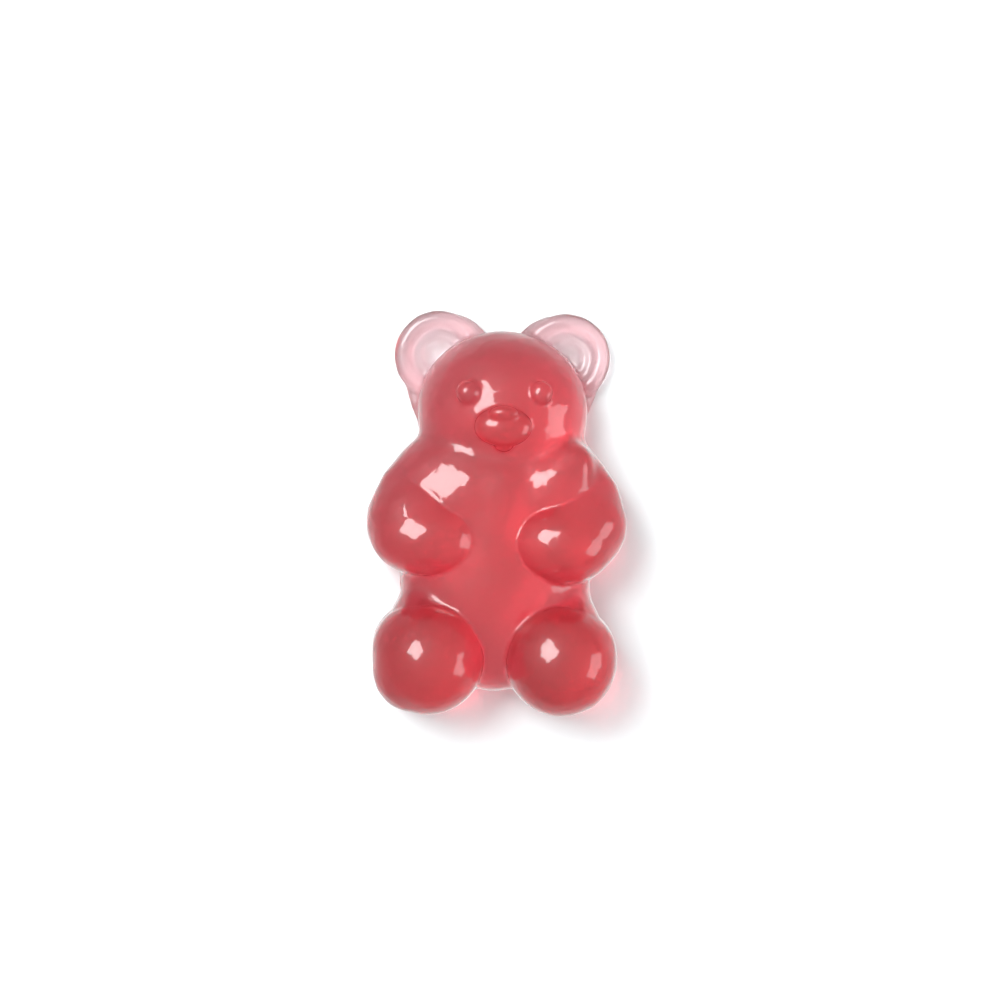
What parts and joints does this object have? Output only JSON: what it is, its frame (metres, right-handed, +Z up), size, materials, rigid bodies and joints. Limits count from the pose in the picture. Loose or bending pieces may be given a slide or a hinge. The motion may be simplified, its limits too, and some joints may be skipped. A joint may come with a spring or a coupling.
{
  "type": "gummy bear",
  "caption": "Fruit gummy sweet in the shape of a sitting bear, lying on its flat back: round ears, snout, folded arms and feet pointing up, in clear pinkish-red gelatine",
  "frame": {"origin": "under the middle of the outline, on the flat back that the bear lies on", "axes": "+Z up from the back to the front, +Y towards the head, +X towards the bear's left side"},
  "size_m": [0.0142, 0.022, 0.0071],
  "materials": {
    "pink_gelatine": "clear pinkish-red gelatine with a wet-looking shine, paler where it is thin"
  },
  "bodies": {
    "root": {"bear": "pink_gelatine"}
  },
  "joints": []
}
